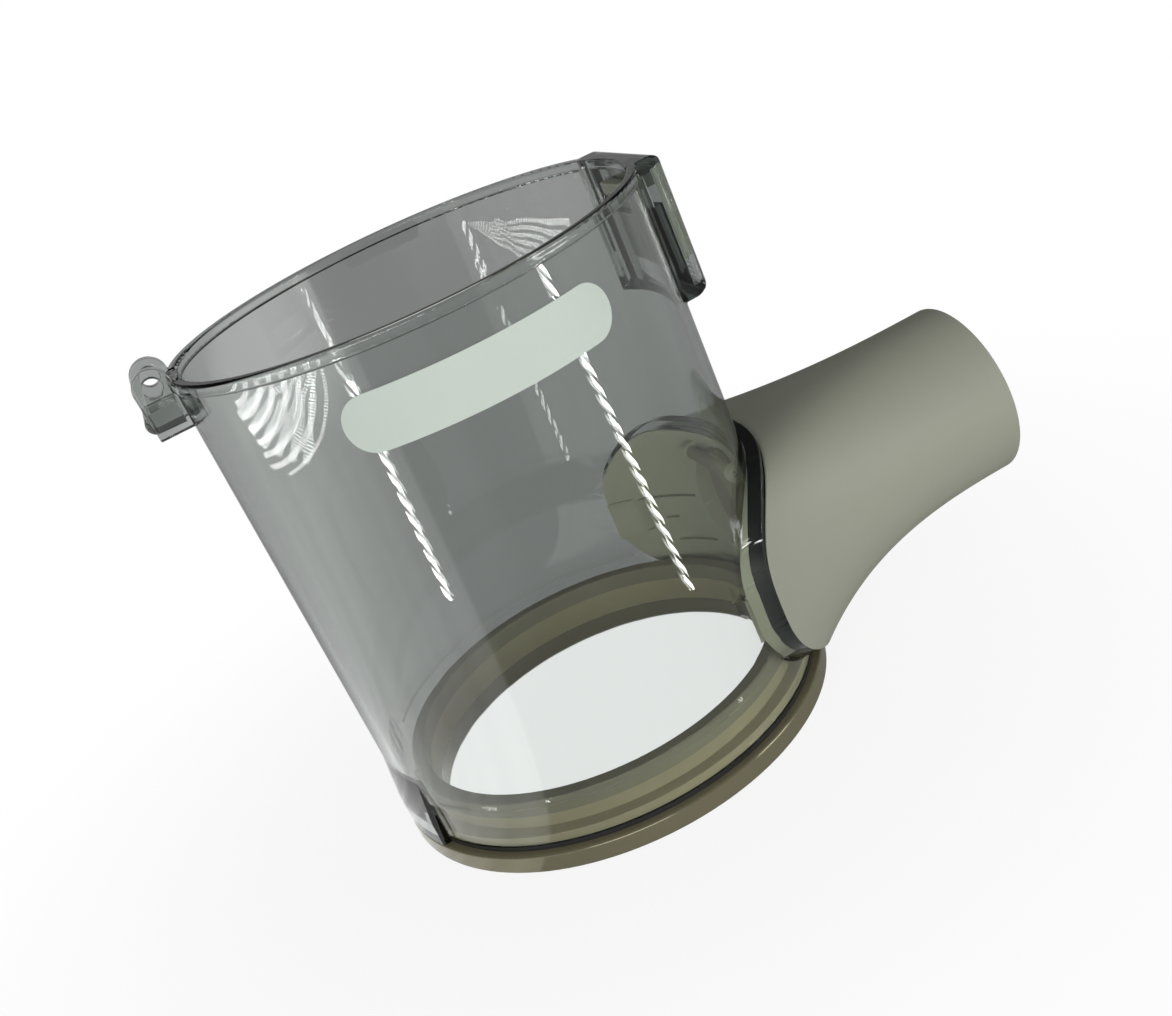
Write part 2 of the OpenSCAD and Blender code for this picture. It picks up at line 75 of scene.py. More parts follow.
# The flare of the inlet duct
FLARE_POWER = 2.6
FLARE_SQUARE = 3.0
FLARE_RINGS = 72
FLARE_SIDES = 160
DUCT_WALL = 2.2 * MM
DUCT_LIP = 0.6 * MM
LIP_STEPS = 4
SADDLE_RADIUS = 62.6 * MM

# The floor lies just under the part; the collar's bore opens onto it
FLOOR_DROP = 0.2 * MM
BORE_RADIUS = 49.4 * MM

# Ropes of light down the wall, mirrored from lamps on the floor, one just above the other: the wall's
# radius and azimuth, a rope's top and foot, its lean, and how many surfaces its light goes through
LAMP_LIFT = 0.02 * MM
ROPE_RADIANCE = 34.0
ROPE_HALF = 0.75 * MM
DASH_PITCH = 4.6 * MM
DASH_SLANT = 0.9
DASH_SHARE = 0.52
WALL_ROPES = [
    ("rope_far_left", 57 * MM, math.radians(109.4), 133 * MM, 104 * MM, 0.0, 2, 2),
    ("rope_through_left", 57 * MM, math.radians(108.8), 106 * MM, 97 * MM, 0.0, 4, 4),
    ("rope_far_right", 57 * MM, math.radians(60), 131 * MM, 106 * MM, 0.0, 2, 2),
    ("rope_through_right", 57 * MM, math.radians(60.3), 105 * MM, 54 * MM, 0.0, 4, 4),
    ("rope_near_left", 59 * MM, math.radians(-118.4), 126 * MM, 74 * MM, 0.045, 0, 2),
    ("rope_near_right", 59 * MM, math.radians(-71.4), 132 * MM, 50 * MM, -0.038, 0, 2),
]

# A shell of dashed arcs in the near wall, round a point near the rim
SHELL_RADIUS = 59 * MM
SHELL_AZIMUTH = math.radians(-133)
SHELL_CENTRE = (-12.4 * MM, 136 * MM)
SHELL_REACH = (3.5 * MM, 25.6 * MM)
SHELL_PITCH = 3.1 * MM
SHELL_SHARE = 0.44
SHELL_HATCH = 34.0
SHELL_HATCH_SHARE = 0.6
SHELL_RADIANCE = 10.0

# A fan of dashed rays in the far wall, from a point at the rim
FAN_RADIUS = 57 * MM
FAN_AZIMUTH = math.radians(45)
FAN_CENTRE = (14.8 * MM, 130.4 * MM)
FAN_REACH = (1.0 * MM, 33 * MM)
FAN_ANGLES = (math.radians(15), math.radians(56))
FAN_RAYS = 6
FAN_SHARE = 0.6
FAN_HATCH = 0.75 * MM
FAN_RADIANCE = 24.0

# Painted reflection: a light room on the left, glowing in the floor, which the wall mirrors: where it starts,
# seen from the cup, where it fades and ends clockwise from there, and its level
PANEL_START = math.radians(-130)
PANEL_FADE = math.radians(55)
PANEL_END = math.radians(110)
PANEL_LEVEL = 1.0

# Softened edges of the pieces that keep their CAD form
EDGE_STEPS = 2
SHARP_EDGE = math.radians(50)
HARD_EDGE = math.radians(35)
EDGE_ROOM = 2.5
NEAR_ROOM = 1.1
EDGE_LENGTH = 1.2
ROUND_TURN = math.radians(2.2)
ROUND_LEAN = 0.05
ROUND_STEP = 0.8 * MM
FLAT_EDGE = math.radians(0.4)
WELD = 0.002 * MM

# Return springs of the latch
WIRE_RADIUS = 0.15 * MM
WIRE_SIDES = 10
SPRING_TURNS = 5
SPRING_STEPS = 32


def clear_startup_objects():
    for thing in list(bpy.data.objects):
        bpy.data.objects.remove(thing)


clear_startup_objects()
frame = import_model()
bpy.context.view_layer.update()


# Node helpers

def new_material(name):
    """A material with an empty tree, and a function that adds nodes to it."""
    material = bpy.data.materials.new(name)
    material.use_nodes = True
    tree = material.node_tree
    tree.nodes.clear()
    return material, tree


def add(tree, kind, inputs=None, **settings):
    """Adds a node, sets its properties, and sets or links its inputs by name."""
    node = tree.nodes.new(kind)
    for key, value in settings.items():
        setattr(node, key, value)
    for key, value in (inputs or {}).items():
        if isinstance(value, bpy.types.NodeSocket):
            tree.links.new(value, node.inputs[key])
        else:
            node.inputs[key].default_value = value
    return node


def object_noise(tree, scale, detail=2.0, roughness=0.5):
    """Noise in the piece's own metres, so that it stays put when the piece moves."""
    place = add(tree, "ShaderNodeTexCoord")
    return add(
        tree, "ShaderNodeTexNoise",
        {"Vector": place.outputs["Object"], "Scale": scale, "Detail": detail, "Roughness": roughness},
    ).outputs["Fac"]


def between(tree, value, low, high):
    """Maps noise around its middle to the range from low to high."""
    return add(
        tree, "ShaderNodeMapRange",
        {"Value": value, "From Min": 0.3, "From Max": 0.7, "To Min": low, "To Max": high},
    ).outputs["Result"]


def two_tone(tree, value, dark, light):
    ramp = add(tree, "ShaderNodeValToRGB", {"Fac": value})
    ramp.color_ramp.elements[0].position = 0.3
    ramp.color_ramp.elements[0].color = (*dark, 1)
    ramp.color_ramp.elements[1].position = 0.7
    ramp.color_ramp.elements[1].color = (*light, 1)
    return ramp.outputs["Color"]


def mix_colours(tree, factor, first, second):
    mix = add(tree, "ShaderNodeMix", data_type="RGBA")
    tree.links.new(factor, mix.inputs["Factor"])
    for socket, colour in ((mix.inputs[6], first), (mix.inputs[7], second)):
        if isinstance(colour, bpy.types.NodeSocket):
            tree.links.new(colour, socket)
        else:
            socket.default_value = (*colour, 1)
    return mix.outputs[2]


def bumps(tree, height, distance, strength=1.0):
    return add(
        tree, "ShaderNodeBump", {"Height": height, "Distance": distance, "Strength": strength}
    ).outputs["Normal"]


def finish_material(tree, surface, volume=None):
    out = add(tree, "ShaderNodeOutputMaterial", {"Surface": surface})
    if volume is not None:
        tree.links.new(volume, out.inputs["Volume"])


# Materials

def clear_smoke():
    """Smoky polycarbonate: polished skin, and a tint that deepens with the thickness."""
    material, tree = new_material("clear_smoke")
    waves = bumps(tree, object_noise(tree, 16, 1.0), 0.0003, 0.15)
    scuffs = between(tree, object_noise(tree, 70, 3.0), 0.0, 0.015)
    skin = add(
        tree, "ShaderNodeBsdfPrincipled",
        {
            "Base Color": (0.90, 0.925, 0.91, 1), "Transmission Weight": 1.0, "IOR": 1.52,
            "Roughness": scuffs, "Normal": waves,
        },
    )
    see_through = add(tree, "ShaderNodeBsdfTransparent", {"Color": (0.90, 0.92, 0.91, 1)})
    path = add(tree, "ShaderNodeLightPath")
    surface = add(
        tree, "ShaderNodeMixShader",
        {0: path.outputs["Is Shadow Ray"], 1: skin.outputs["BSDF"], 2: see_through.outputs["BSDF"]},
    )
    tint = add(
        tree, "ShaderNodeVolumeAbsorption", {"Color": (0.30, 0.36, 0.33, 1), "Density": 75.0}
    )
    finish_material(tree, surface.outputs["Shader"], tint.outputs["Volume"])
    return material


def painted_champagne(name="painted_champagne", shade_factor=1.0):
    """Fine satin paint with a faint metallic grain, as light as it is written at a shade factor of 1; a lower factor
    darkens it as painted shade.
    """
    material, tree = new_material(name)
    dark = tuple(shade_factor * part for part in (0.325, 0.335, 0.270))
    light = tuple(shade_factor * part for part in (0.345, 0.355, 0.288))
    colour = two_tone(tree, object_noise(tree, 14, 3.0), dark, light)
    grain = object_noise(tree, 5200, 2.0)
    skin = add(
        tree, "ShaderNodeBsdfPrincipled",
        {
            "Base Color": colour, "Roughness": between(tree, grain, 0.52, 0.62),
            "Specular IOR Level": 0.3, "Normal": bumps(tree, grain, 0.00002, 0.25),
        },
    )
    finish_material(tree, skin.outputs["BSDF"])
    return material


def painted_olive():
    """Olive-gold paint, satin on the tube and polished on the flange."""
    material, tree = new_material("painted_olive")
    satin_colour = two_tone(tree, object_noise(tree, 40, 3.0), (0.345, 0.306, 0.184), (0.374, 0.333, 0.202))
    grain = object_noise(tree, 4200, 2.0)
    place = add(tree, "ShaderNodeTexCoord")
    height = add(tree, "ShaderNodeSeparateXYZ", {0: place.outputs["Object"]}).outputs["Z"]
    polish = add(
        tree, "ShaderNodeMapRange",
        {"Value": height, "From Min": 0.0052, "From Max": 0.0049, "To Min": 0.0, "To Max": 1.0},
    ).outputs["Result"]
    satin = between(tree, grain, 0.42, 0.52)
    roughness = add(tree, "ShaderNodeMix", {"Factor": polish, "A": satin, "B": 0.16})
    colour = mix_colours(tree, polish, satin_colour, (0.215, 0.199, 0.126))
    metal = math_node(tree, "MULTIPLY", polish, 0.35)
    skin = add(
        tree, "ShaderNodeBsdfPrincipled",
        {
            "Base Color": colour, "Metallic": metal, "Roughness": roughness.outputs["Result"],
            "Normal": bumps(tree, grain, 0.00001, 0.15),
        },
    )
    finish_material(tree, skin.outputs["BSDF"])
    return material


def plain_plastic(name, dark, light, roughness, grain_scale=2600.0, grain_depth=0.00002):
    """Moulded plastic or rubber: two close tones, uneven gloss and a fine grain."""
    material, tree = new_material(name)
    colour = two_tone(tree, object_noise(tree, 60, 3.0), dark, light)
    grain = object_noise(tree, grain_scale, 3.0)
    skin = add(
        tree, "ShaderNodeBsdfPrincipled",
        {
            "Base Color": colour, "Roughness": between(tree, grain, roughness - 0.06, roughness + 0.06),
            "Normal": bumps(tree, grain, grain_depth, 0.3),
        },
    )
    finish_material(tree, skin.outputs["BSDF"])
    return material


def steel():
    material, tree = new_material("steel")
    drawn = object_noise(tree, 1500, 2.0)
    skin = add(
        tree, "ShaderNodeBsdfPrincipled",
        {"Base Color": (0.62, 0.63, 0.65, 1), "Metallic": 1.0, "Roughness": between(tree, drawn, 0.2, 0.34)},
    )
    finish_material(tree, skin.outputs["BSDF"])
    return material


def paint(thing, material):
    thing.data.materials.clear()
    thing.data.materials.append(material)


# Meshes

def signed_power(value, power):
    return math.copysign(abs(value) ** power, value)


def flare_point(u, angle, inset, shift, duct):
    """Point at part u of the duct's length, set in from its skin and shifted along the duct."""
    half_height = (duct["top"] - duct["foot"]) / 2
    middle = (duct["top"] + duct["foot"]) / 2
    c, s = math.cos(angle), math.sin(angle)
    y_wide = (duct["half_width"] - inset) * signed_power(c, 2 / FLARE_SQUARE)
    z_wide = middle + (half_height - inset) * signed_power(s, 2 / FLARE_SQUARE)
    x_wide = math.sqrt(SADDLE_RADIUS ** 2 - y_wide ** 2)
    y_end = (duct["end_radius"] - inset) * c
    z_end = duct["end_z"] + (duct["end_radius"] - inset) * s
    k = (1 - u) ** FLARE_POWER
    x = x_wide + (duct["reach"] - x_wide) * u + shift
    return Vector((x, y_end + (y_wide - y_end) * k, z_end + (z_wide - z_end) * k))


def duct_sizes():
    """The duct's driving sizes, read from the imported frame."""
    low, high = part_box("inlet_duct")
    bore = next(m for m in frame["record"]["mounts"] if m["name"] == "inlet_bore")
    end_z = bore["pos_m"][2]
    return {
        "top": high.z, "foot": low.z, "half_width": high.y, "reach": high.x,
        "end_z": end_z, "end_radius": high.z - end_z,
    }


def duct_profile():
    """Stations round the duct's wall section: out along the skin, round the lip and back inside."""
    outside = [(i / FLARE_RINGS, 0.0, DUCT_LIP * (1 - 2 * i / FLARE_RINGS)) for i in range(FLARE_RINGS + 1)]
    inside = [(1 - u, DUCT_WALL, -shift) for u, _, shift in outside]
    lip = []
    for i in range(1, LIP_STEPS):
        turn = math.pi / 2 * i / LIP_STEPS
        lip.append((DUCT_LIP * (1 - math.cos(turn)), DUCT_LIP * (1 - math.sin(turn))))
    corners = [*lip, (DUCT_LIP, 0.0), (DUCT_WALL - DUCT_LIP, 0.0)]
    corners += [(DUCT_WALL - inset, pull) for inset, pull in reversed(lip)]
    round_end = [(1.0, inset, -pull) for inset, pull in corners]
    wide_end = [(0.0, DUCT_WALL - inset, pull) for inset, pull in corners]
    return outside + round_end + inside + wide_end


def make_duct():
    duct = duct_sizes()
    mesh = bmesh.new()
    rings = []
    for u, inset, shift in duct_profile():
        ring = []
        for j in range(FLARE_SIDES):
            angle = math.tau * j / FLARE_SIDES
            ring.append(mesh.verts.new(flare_point(u, angle, inset, shift, duct)))
        rings.append(ring)
    for a, b in zip(rings, rings[1:] + rings[:1]):
        for j in range(FLARE_SIDES):
            k = (j + 1) % FLARE_SIDES
            mesh.faces.new((a[j], a[k], b[k], b[j]))
    bmesh.ops.recalc_face_normals(mesh, faces=mesh.faces)
    piece = new_piece("inlet_duct_skin", mesh)
    stand_in(piece, "inlet_duct", "bin")
    return piece


def stand_in(piece, node, body):
    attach(piece, body)
    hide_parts(node)


def face_reach(loop):
    """How far a face reaches from one of its edges, at its farthest corner and at the edge's middle."""
    start, end = loop.vert.co, loop.link_loop_next.vert.co
    along = (end - start).normalized()
    inward = loop.face.normal.cross(along)
    middle = (start + end) / 2
    farthest = max((v.co - middle).dot(inward) for v in loop.face.verts)
    nearest = farthest
    for other in loop.face.loops:
        a, b = other.vert.co - middle, other.link_loop_next.vert.co - middle
        a_side, b_side = a.dot(along), b.dot(along)
        if other is loop or a_side * b_side > 0 or a_side == b_side:
            continue
        across = a.lerp(b, a_side / (a_side - b_side)).dot(inward)
        if across > 0:
            nearest = min(nearest, across)
    return farthest, nearest


def has_room(edge, width):
    """Whether an edge is sharp and long, between faces that are deep enough to round it."""
    if not edge.is_manifold or edge.calc_face_angle(0) < SHARP_EDGE:
        return False
    if edge.calc_length() < EDGE_LENGTH * width:
        return False
    reaches = [face_reach(loop) for loop in edge.link_loops]
    return all(far > EDGE_ROOM * width and near > NEAR_ROOM * width for far, near in reaches)


def soften(node, body, material, width):
    """A copy of a CAD piece whose sharp edges are rounded, as a mould leaves them."""
    mesh = bmesh.new()
    mesh.from_mesh(frame["nodes"][node].data)
    bmesh.ops.remove_doubles(mesh, verts=mesh.verts, dist=WELD)
    bmesh.ops.dissolve_limit(mesh, angle_limit=FLAT_EDGE, verts=mesh.verts, edges=mesh.edges)
    weight = mesh.edges.layers.float.new("bevel_weight_edge")
    hard = []
    for edge in mesh.edges:
        rounded = has_room(edge, width)
        edge[weight] = float(rounded)
        hard.append(not rounded and edge.calc_face_angle(math.pi) > HARD_EDGE)
    piece = new_piece(node + "_soft", mesh, 180)
    for edge, is_hard in zip(piece.data.edges, hard):
        edge.use_edge_sharp = is_hard
    bevel = piece.modifiers.new("edges", "BEVEL")
    bevel.width = width
    bevel.segments = EDGE_STEPS
    bevel.limit_method = "WEIGHT"
    bevel.use_clamp_overlap = False
    normals = piece.modifiers.new("normals", "WEIGHTED_NORMAL")
    normals.weight = 100
    normals.keep_sharp = True
    settle(piece)
    round_walls(piece.data)
    paint(piece, material)
    stand_in(piece, node, body)
    return piece


def flat_length(vector):
    return math.hypot(vector.x, vector.y)


def round_walls(mesh):
    """Gives each facet of an upright round wall the true normals of its cylinder."""
    normals = [corner.vector.copy() for corner in mesh.corner_normals]
    for face in mesh.polygons:
        if abs(face.normal.z) > ROUND_LEAN:
            continue
        middle = face.center.copy()
        middle.z = 0
        out = middle.normalized()
        facing = math.copysign(1, face.normal.dot(out))
        if abs(face.normal.dot(out)) < math.cos(ROUND_TURN) * flat_length(face.normal):
            continue
        corners = [mesh.vertices[i].co for i in face.vertices]
        radii = [flat_length(co) for co in corners]
        if max(radii) - min(radii) > ROUND_STEP:
            continue
        for loop, co in zip(face.loop_indices, corners):
            normals[loop] = (Vector((co.x, co.y, 0)).normalized() * facing + Vector((0, 0, face.normal.z))).normalized()
    mesh.normals_split_custom_set(normals)


def settle(piece):
    """Applies a piece's modifiers to its mesh."""
    graph = bpy.context.evaluated_depsgraph_get()
    final = bpy.data.meshes.new_from_object(piece.evaluated_get(graph))
    piece.modifiers.clear()
    piece.data = final


def make_springs(metal):
    """Two return springs of round wire under the slider."""
    low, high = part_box("latch_springs")
    rail = (low.x + high.x) / 2
    radius = (high.x - low.x) / 2 - WIRE_RADIUS
    span = high.z - low.z - 2 * WIRE_RADIUS
    side = high.y - radius - WIRE_RADIUS
    mesh = bmesh.new()
    for y in (-side, side):
        add_coil(mesh, Vector((rail, y, low.z + WIRE_RADIUS)), radius, span)
    piece = new_piece("latch_springs_wire", mesh)
    paint(piece, metal)
    stand_in(piece, "latch_springs", "bin")
    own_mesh(piece)


def add_coil(mesh, foot, radius, height):
    steps = SPRING_TURNS * SPRING_STEPS
    rings = []
    for i in range(steps + 1):
        turn = math.tau * i / SPRING_STEPS
        out = Vector((math.cos(turn), math.sin(turn), 0))
        middle = foot + out * radius + Vector((0, 0, height * i / steps))
        ring = []
        for j in range(WIRE_SIDES):
            angle = math.tau * j / WIRE_SIDES
            offset = out * math.cos(angle) + Vector((0, 0, math.sin(angle)))
            ring.append(mesh.verts.new(middle + offset * WIRE_RADIUS))
        rings.append(ring)
    for a, b in zip(rings, rings[1:]):
        for j in range(WIRE_SIDES):
            k = (j + 1) % WIRE_SIDES
            mesh.faces.new((a[j], a[k], b[k], b[j]))
    mesh.faces.new(reversed(rings[0]))
    mesh.faces.new(rings[-1])


def new_piece(name, mesh, smooth_deg=35):
    data = bpy.data.meshes.new(name)
    mesh.to_mesh(data)
    mesh.free()
    data.shade_smooth()
    data.set_sharp_from_angle(angle=math.radians(smooth_deg))
    piece = bpy.data.objects.new(name, data)
    bpy.context.scene.collection.objects.link(piece)
    return piece


# Stage

def math_node(tree, operation, *values):
    return add(tree, "ShaderNodeMath", dict(enumerate(values)), operation=operation).outputs[0]


def ramp(tree, value, start, end, low, high):
    """Smooth step of a value from one level to another."""
    return add(
        tree, "ShaderNodeMapRange",
        {"Value": value, "From Min": start, "From Max": end, "To Min": low, "To Max": high},
        interpolation_type="SMOOTHSTEP",
    ).outputs["Result"]


def room_tone(tree, spot):
    """Level of the floor's glow that paints the room the plastic shows: grey, and lighter to the left and far back."""
    lean = math_node(tree, "MULTIPLY", spot.outputs["Y"], -0.1)
    across = math_node(tree, "ADD", spot.outputs["X"], lean)
    left = ramp(tree, across, -0.02, -0.09, 0.0, 0.20)
    right = ramp(tree, across, 0.06, 0.20, 0.25, 0.32)
    back = ramp(tree, spot.outputs["Y"], 0.40, 0.55, 0.0, 0.17)
    start = ramp(tree, across, -0.035, -0.039, 0.0, 1.0)
    end = ramp(tree, across, -0.13, -0.17, 1.0, 0.0)
    corner = math_node(tree, "MULTIPLY", back, math_node(tree, "MULTIPLY", start, end))
    return math_node(tree, "ADD", math_node(tree, "ADD", left, right), corner)


def panel_tone(tree, spot):
    """Painted reflection of a lighter room on the left, glowing in the floor, uneven along its azimuth, for rays that
    the wall mirrors.
    """
    azimuth = math_node(tree, "ARCTAN2", spot.outputs["Y"], spot.outputs["X"])
    back = math_node(tree, "SUBTRACT", PANEL_START + math.tau, azimuth)
    turned = math_node(tree, "MODULO", back, math.tau)
    start = ramp(tree, turned, 0.0, math.radians(1.5), 0.0, PANEL_LEVEL)
    fade = ramp(tree, turned, PANEL_FADE, PANEL_END, 1.0, 0.0)
    inside = math_node(tree, "MULTIPLY", start, fade)
    bands = add(
        tree, "ShaderNodeTexNoise", {"W": azimuth, "Scale": 9.0, "Detail": 2.0}, noise_dimensions="1D"
    ).outputs["Fac"]
    return math_node(tree, "MULTIPLY", inside, between(tree, bands, 0.75, 1.1))


def make_floor():
    """White to the camera but for the part's shadow; to mirrored and see-through rays mostly a grey glow, painted room
    light that the plastic reflects and shows; matte to everything else.
    """
    bpy.ops.mesh.primitive_plane_add(size=8, location=(0, 0, -FLOOR_DROP))
    floor = bpy.context.object
    floor.name = "floor"
    material, tree = new_material("floor")
    path = add(tree, "ShaderNodeLightPath")
    place = add(tree, "ShaderNodeTexCoord")
    spot = add(tree, "ShaderNodeSeparateXYZ", {0: place.outputs["Object"]})
    away = add(tree, "ShaderNodeVectorMath", {0: place.outputs["Object"]}, operation="LENGTH").outputs["Value"]
    matte = add(tree, "ShaderNodeBsdfDiffuse", {"Color": (0.8, 0.8, 0.8, 1)})
    reflected = math_node(tree, "GREATER_THAN", path.outputs["Glossy Depth"], 0.5)
    panel = math_node(tree, "MULTIPLY", reflected, panel_tone(tree, spot))
    tone = math_node(tree, "ADD", room_tone(tree, spot), panel)
    # The floor glows as painted room light for mirrored and see-through rays.
    room_glow = add(tree, "ShaderNodeEmission", {"Color": (1, 1, 1, 1), "Strength": tone})
    white = add(tree, "ShaderNodeEmission", {"Color": (1, 1, 1, 1), "Strength": 1.0})

    through = path.outputs["Is Transmission Ray"]
    mirrored = math_node(tree, "MAXIMUM", path.outputs["Is Glossy Ray"], through)
    grey_share = math_node(tree, "MULTIPLY", mirrored, 0.7)
    grey = add(
        tree, "ShaderNodeMixShader", {0: grey_share, 1: matte.outputs["BSDF"], 2: room_glow.outputs["Emission"]}
    )
    bore = math_node(tree, "LESS_THAN", away, BORE_RADIUS)
    direct = math_node(tree, "MULTIPLY", through, math_node(tree, "SUBTRACT", 1.0, reflected))
    white_bore = math_node(tree, "MULTIPLY", bore, direct)
    clean = ramp(tree, away, 0.04, 0.25, 0.88, 1.0)
    white_view = math_node(tree, "MULTIPLY", clean, path.outputs["Is Camera Ray"])
    white_share = math_node(tree, "MAXIMUM", white_bore, white_view)
    mix = add(
        tree, "ShaderNodeMixShader", {0: white_share, 1: grey.outputs["Shader"], 2: white.outputs["Emission"]}
    )
    finish_material(tree, mix.outputs["Shader"])
    paint(floor, material)


def make_world():
    """White to the camera; to everything else a soft room, dark overhead and lighter to the left."""
    world = bpy.data.worlds.new("studio")
    bpy.context.scene.world = world
    world.use_nodes = True
    tree = world.node_tree
    tree.nodes.clear()
    path = add(tree, "ShaderNodeLightPath")
    place = add(tree, "ShaderNodeTexCoord")
    way = add(tree, "ShaderNodeSeparateXYZ", {0: place.outputs["Generated"]})
    seen = ramp(tree, way.outputs["Z"], 0.05, 0.35, 0.50, 0.03)
    lit = ramp(tree, way.outputs["Z"], 0.05, 0.7, 0.50, 0.28)
    ceiling = add(
        tree, "ShaderNodeMix", {"Factor": path.outputs["Is Diffuse Ray"], "A": seen, "B": lit}
    ).outputs["Result"]
    side = ramp(tree, way.outputs["X"], -0.6, 0.6, 1.25, 0.75)
    dim = math_node(tree, "MULTIPLY_ADD", path.outputs["Is Transmission Ray"], -0.45, 1.0)
    level = math_node(tree, "MULTIPLY", math_node(tree, "MULTIPLY", ceiling, side), dim)
    room = add(tree, "ShaderNodeBackground", {"Color": (1, 1, 1, 1), "Strength": level})
    white = add(tree, "ShaderNodeBackground", {"Color": (1, 1, 1, 1), "Strength": 1.0})
    mix = add(
        tree, "ShaderNodeMixShader",
        {0: path.outputs["Is Camera Ray"], 1: room.outputs["Background"], 2: white.outputs["Background"]},
    )
    out = tree.nodes.new("ShaderNodeOutputWorld")
    tree.links.new(mix.outputs["Shader"], out.inputs["Surface"])


def add_area(name, place, target, size, power):
    data = bpy.data.lights.new(name, "AREA")
    data.shape = "RECTANGLE"
    data.size, data.size_y = size
    data.energy = power
    lamp = bpy.data.objects.new(name, data)
    lamp.location = place
    lamp.rotation_euler = (Vector(target) - Vector(place)).to_track_quat("-Z", "Y").to_euler()
    lamp.visible_camera = False
    bpy.context.scene.collection.objects.link(lamp)
    return lamp


def make_lights():
    key = add_area("key", (-0.40, -0.9, 0.20), (0, 0, 0.05), (0.7, 0.35), 4.2)
    key.visible_transmission = False
    add_area("side", (0.75, -0.55, 0.10), (0.08, 0, 0.04), (0.35, 0.15), 2.5)
    for level, rope in enumerate(WALL_ROPES, 3):
        lay_rope(level, *rope)
    lay_shell(1)
    lay_fan(2)


def cross(a, b):
    return a.x * b.y - a.y * b.x


class Mirror:
    """A spot of the wall, and the floor that the camera sees mirrored there."""

    def __init__(self, radius, azimuth, top, foot):
        self.radius = radius
        self.spot = Vector((math.cos(azimuth), math.sin(azimuth))) * radius
        self.tangent = Vector((-self.spot.y, self.spot.x)) / radius
        out = self.spot / radius
        self.sight = self.spot - CAMERA_PLACE.xy
        self.reach = self.sight.length
        self.way = (self.sight - 2 * self.sight.dot(out) * out) / self.reach
        self.near_end, self.far_end = (self.reach * z / (CAMERA_PLACE.z - z) for z in (foot, top))
        self.middle = (self.near_end + self.far_end) / 2
        swing = cross(self.sight, self.tangent) / self.reach ** 2
        self.turn = 2 - radius * swing + radius * cross(self.way, self.tangent) / self.middle

    def lay(self, name, level, half_width, radiance):
        """Lays a lamp over the part of the floor that shows within a half width round the wall."""
        data = bpy.data.lights.new(name, "AREA")
        data.shape = "RECTANGLE"
        data.size = self.far_end - self.near_end
        data.size_y = 2 * half_width * (1 + self.turn * self.far_end / self.radius)
        data.energy = radiance * math.pi * data.size * data.size_y
        lamp = bpy.data.objects.new(name, data)
        lamp.location = (*(self.spot + self.way * self.middle), level * LAMP_LIFT - FLOOR_DROP)
        lamp.rotation_euler = (math.pi, 0, math.atan2(self.way.y, self.way.x))
        lamp.visible_camera = lamp.visible_diffuse = False
        bpy.context.scene.collection.objects.link(lamp)
        return data

    def place(self, tree):
        """Where the wall shows a point of the lamp: metres round the wall from the spot, and height."""
        position = add(tree, "ShaderNodeNewGeometry").outputs["Position"]
        out = add(
            tree, "ShaderNodeVectorMath", {0: position, 1: (*self.spot, 0)}, operation="SUBTRACT"
        ).outputs["Vector"]
        left = (-self.way.y, self.way.x, 0)
        along, side = (
            add(tree, "ShaderNodeVectorMath", {0: out, 1: axis}, operation="DOT_PRODUCT").outputs["Value"]
            for axis in ((*self.way, 0), left)
        )
        angle = math_node(tree, "ARCTAN2", side, along)
        round_wall = math_node(tree, "MULTIPLY", angle, self.radius / self.turn)
        away = add(tree, "ShaderNodeVectorMath", {0: out}, operation="LENGTH").outputs["Value"]
        step = math_node(tree, "MULTIPLY_ADD", round_wall, -self.tangent.dot(self.way), away)
        reach = math_node(
            tree, "MULTIPLY_ADD", round_wall, self.tangent.dot(self.sight) / self.reach, self.reach
        )
        lifted = math_node(tree, "MULTIPLY", step, CAMERA_PLACE.z)
        height = math_node(tree, "DIVIDE", lifted, math_node(tree, "ADD", step, reach))
        return round_wall, height


def glow_tree(data):
    data.use_nodes = True
    data.node_tree.nodes.clear()
    return data.node_tree


def within(tree, value, low, high):
    above = math_node(tree, "GREATER_THAN", value, low)
    return math_node(tree, "MULTIPLY", above, math_node(tree, "LESS_THAN", value, high))


def glow_where(tree, masks, least, most):
    """Lets a lamp shine where all masks are 1, for mirrored rays that crossed so many surfaces."""
    path = add(tree, "ShaderNodeLightPath")
    shown = math_node(tree, "GREATER_THAN", path.outputs["Glossy Depth"], 0.5)
    masks = [*masks, within(tree, path.outputs["Transmission Depth"], least - 0.5, most + 0.5)]
    for mask in masks:
        shown = math_node(tree, "MULTIPLY", shown, mask)
    glow = add(tree, "ShaderNodeEmission", {"Color": (1, 1, 1, 1), "Strength": shown})
    out = tree.nodes.new("ShaderNodeOutputLight")
    tree.links.new(glow.outputs["Emission"], out.inputs["Surface"])


def dashes(tree, turns, share):
    return math_node(tree, "LESS_THAN", math_node(tree, "FRACT", turns), share)


def lay_rope(level, name, radius, azimuth, top, foot, lean, least, most):
    """A lamp that the wall shows as an upright rope of slanted dashes."""
    mirror = Mirror(radius, azimuth, top, foot)
    half = ROPE_HALF + abs(lean) * (top - foot) / 2
    radiance = ROPE_RADIANCE * (2 if least > 2 else 1)
    tree = glow_tree(mirror.lay(name, level, half, radiance))
    round_wall, height = mirror.place(tree)
    rise = math_node(tree, "SUBTRACT", height, (top + foot) / 2)
    off = math_node(tree, "MULTIPLY_ADD", rise, -lean, round_wall)
    inside = within(tree, off, -ROPE_HALF, ROPE_HALF)
    turns = math_node(tree, "DIVIDE", height, DASH_PITCH)
    slanted = math_node(tree, "MULTIPLY_ADD", off, DASH_SLANT / (2 * ROPE_HALF), turns)
    glow_where(tree, [inside, dashes(tree, slanted, DASH_SHARE)], least, most)


